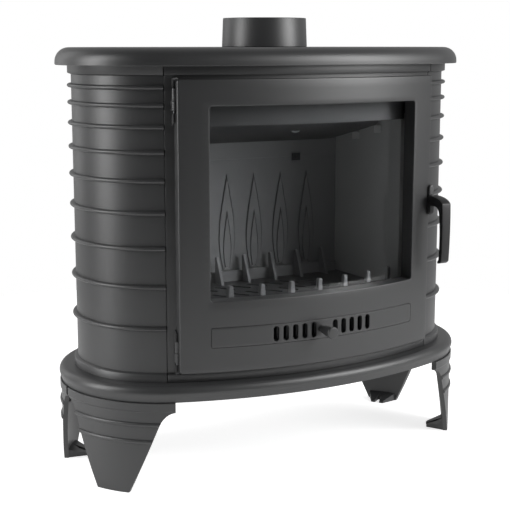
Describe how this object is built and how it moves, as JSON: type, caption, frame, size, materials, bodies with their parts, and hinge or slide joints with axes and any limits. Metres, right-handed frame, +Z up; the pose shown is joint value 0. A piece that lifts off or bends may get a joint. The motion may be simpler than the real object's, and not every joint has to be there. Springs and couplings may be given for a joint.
{
  "type": "potbelly stove",
  "caption": "Oval cast-iron wood stove with ribbed sides, a bowed glass door, a round flue collar and curved legs.",
  "frame": {"origin": "on the floor, under the middle of the stove's bounding box", "axes": "+X is the stove's right seen from the front, +Y points to its back, +Z is up; the door faces -Y"},
  "size_m": [0.7698, 0.4362, 0.7727],
  "materials": {
    "cast_iron": "matte dark grey stove paint",
    "black_iron": "matte black stove paint",
    "fired_iron": "bare, heat-darkened",
    "bright_steel": "turned",
    "dark_steel": "dull, darkened",
    "seal_rope": "woven glass fibre rope",
    "glass": "clear heat-proof glass"
  },
  "bodies": {
    "stove": {"base_plate": "cast_iron", "leg_front_left": "cast_iron", "leg_front_right": "cast_iron", "leg_rear_left": "cast_iron", "leg_rear_right": "cast_iron", "side_wall_left": "cast_iron", "side_wall_right": "cast_iron", "back_plate": "cast_iron", "front_frame": "cast_iron", "top_plate": "cast_iron", "flue_collar": "cast_iron", "hearth_plate": "fired_iron", "grate": "fired_iron", "liner_left": "fired_iron", "liner_right": "fired_iron", "fireback_lower": "fired_iron", "fireback_upper": "fired_iron", "baffle_plate": "fired_iron", "air_deflector": "fired_iron", "front_guard": "fired_iron", "rear_guard": "fired_iron", "hinge_pin_upper": "bright_steel", "hinge_pin_lower": "bright_steel", "keeper_roller": "bright_steel", "leg_bolt_front_left": "dark_steel", "leg_bolt_front_right": "dark_steel", "leg_bolt_rear_left": "dark_steel", "leg_bolt_rear_right": "dark_steel", "tie_rod_front_left": "dark_steel", "tie_rod_front_right": "dark_steel", "tie_rod_rear_left": "dark_steel", "tie_rod_rear_right": "dark_steel", "fireback_clip_left": "dark_steel", "fireback_clip_right": "dark_steel", "ash_pan": "dark_steel", "latch_keeper": "dark_steel"},
    "door": {"door_frame": "cast_iron", "door_seal": "seal_rope", "glass_pane": "glass", "glass_clip_upper_left": "dark_steel", "glass_clip_upper_right": "dark_steel", "glass_clip_lower_left": "dark_steel", "glass_clip_lower_right": "dark_steel", "air_plate": "cast_iron", "slider_rail_upper": "dark_steel", "slider_rail_lower": "dark_steel", "handle_plate": "black_iron"},
    "handle": {"handle_lever": "black_iron", "handle_spindle": "bright_steel", "latch_tongue": "dark_steel", "spindle_nut": "bright_steel"},
    "air_control": {"air_slider": "dark_steel", "air_knob": "cast_iron"}
  },
  "joints": [
    {"name": "door_hinge", "type": "hinge", "parent": "stove", "child": "door", "pos_m": [-0.24752, -0.12349, 0.4356], "axis": [0, 0, -1], "range_deg": [0, 105]},
    {"name": "handle_turn", "type": "hinge", "parent": "door", "child": "handle", "pos_m": [0.24952, -0.1407, 0.4537], "axis": [0, -1, 0], "range_deg": [0, 90]},
    {"name": "air_slide", "type": "hinge", "parent": "door", "child": "air_control", "pos_m": [0, 0.49986, 0.2563], "axis": [0, 0, 1], "range_deg": [0, 0.74]}
  ]
}
